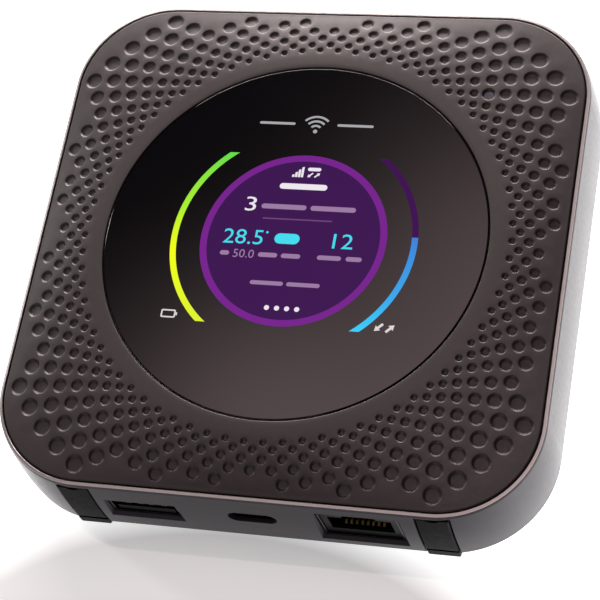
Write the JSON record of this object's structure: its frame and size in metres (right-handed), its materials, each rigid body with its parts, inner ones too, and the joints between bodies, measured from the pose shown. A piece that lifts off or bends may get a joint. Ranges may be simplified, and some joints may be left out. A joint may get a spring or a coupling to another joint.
{
  "type": "mobile hotspot",
  "caption": "Square pocket hotspot with a domed dimpled bezel round a glossy circular screen, sockets along one edge, rubber-flapped antenna ports and a lift-off back with battery bay.",
  "frame": {"origin": "centre of the resting plane under the square body, level with the bottom of the rubber feet", "axes": "+Z out of the screen, -Y towards the edge with the sockets, +X to the right of the screen"},
  "size_m": [0.1062, 0.1062, 0.0203],
  "materials": {
    "bezel_plastic": "warm charcoal, satin",
    "shell_paint": "gunmetal metallic, satin",
    "button_paint": "gunmetal metallic, satin",
    "lens_gloss": "gloss black",
    "lcd_glass": "gloss",
    "backlight_film": "matte white",
    "adhesive": "matte",
    "foam": "matte foam",
    "cover_plastic": "fine texture",
    "chassis_plastic": "matte black",
    "black_plastic": "matte black",
    "white_plastic": "matte",
    "light_pipe": "frosted clear",
    "led": "gloss",
    "rubber": "matte",
    "board": "solder mask",
    "film": "satin film",
    "steel": "satin",
    "gold": "plated",
    "graphite": "satin",
    "thermal_rubber": "matte",
    "battery_wrap": "satin",
    "label": "satin"
  },
  "bodies": {
    "back_cover": {"back_cover": "cover_plastic", "rubber_feet": "rubber", "cover_foam": "foam"},
    "housing": {"top_bezel": "bezel_plastic", "display_lens": "lens_gloss", "lens_adhesive": "adhesive", "status_light_pipe": "light_pipe", "status_led": "led", "lcd_gasket": "foam", "lcd_panel": "lcd_glass", "lcd_backlight": "backlight_film", "lcd_bracket": "steel", "lcd_flex": "film", "lcd_connector": "black_plastic", "side_shell": "shell_paint", "inner_chassis": "chassis_plastic", "main_pcb": "board", "modem_shield": "steel", "modem_chipset": "black_plastic", "memory_chip": "black_plastic", "wifi_shield": "steel", "wifi_chipset": "black_plastic", "power_shield": "steel", "power_chips": "black_plastic", "thermal_pad": "thermal_rubber", "heat_spreader": "graphite", "board_screws": "steel", "chassis_screws": "steel", "usb_a_shell": "steel", "usb_a_tongue": "black_plastic", "usb_a_contacts": "gold", "usb_c_shell": "steel", "usb_c_tongue": "black_plastic", "usb_c_contacts": "gold", "ethernet_shield": "steel", "ethernet_body": "black_plastic", "ethernet_contacts": "gold", "ethernet_transformer": "black_plastic", "antenna_port_left": "gold", "antenna_port_right": "gold", "antenna_port_pins": "gold", "door_anchor_left": "rubber", "door_anchor_right": "rubber", "cellular_antenna_left": "film", "cellular_antenna_right": "film", "wifi_antennas": "steel", "battery_connector": "black_plastic", "sim_socket": "steel", "power_switch": "black_plastic", "reset_switch": "black_plastic"},
    "battery": {"battery_cell": "battery_wrap", "battery_contact_block": "black_plastic", "battery_contacts": "gold", "battery_label": "label"},
    "sim_card": {"sim_card": "white_plastic"},
    "power_button": {"power_button": "button_paint"},
    "reset_button": {"reset_button": "white_plastic"},
    "antenna_door_left": {"antenna_door_left": "rubber"},
    "antenna_door_right": {"antenna_door_right": "rubber"}
  },
  "joints": [
    {"name": "housing_lift", "type": "slide", "parent": "back_cover", "child": "housing", "axis": [0, 0, 1], "range_m": [0, 0.05]},
    {"name": "battery_lift", "type": "slide", "parent": "back_cover", "child": "battery", "axis": [0, 0, 1], "range_m": [0, 0.025]},
    {"name": "sim_card_slide", "type": "slide", "parent": "housing", "child": "sim_card", "axis": [0, 1, 0], "range_m": [0, 0.0125]},
    {"name": "power_button_press", "type": "slide", "parent": "housing", "child": "power_button", "axis": [0, -1, 0], "range_m": [0, 0.0005], "stiffness_N_per_m": 200},
    {"name": "reset_button_press", "type": "slide", "parent": "housing", "child": "reset_button", "axis": [0, 0, 1], "range_m": [0, 0.0003], "stiffness_N_per_m": 200},
    {"name": "antenna_door_left_hinge", "type": "hinge", "parent": "housing", "child": "antenna_door_left", "pos_m": [-0.0339, -0.05235, 0.0037], "axis": [1, 0, 0], "range_deg": [0, 85]},
    {"name": "antenna_door_right_hinge", "type": "hinge", "parent": "housing", "child": "antenna_door_right", "pos_m": [0.0339, -0.05235, 0.0037], "axis": [1, 0, 0], "range_deg": [0, 85]}
  ],
  "couplings": [
    {"joint": "battery_lift", "follows": "housing_lift", "ratio": 0.5}
  ]
}
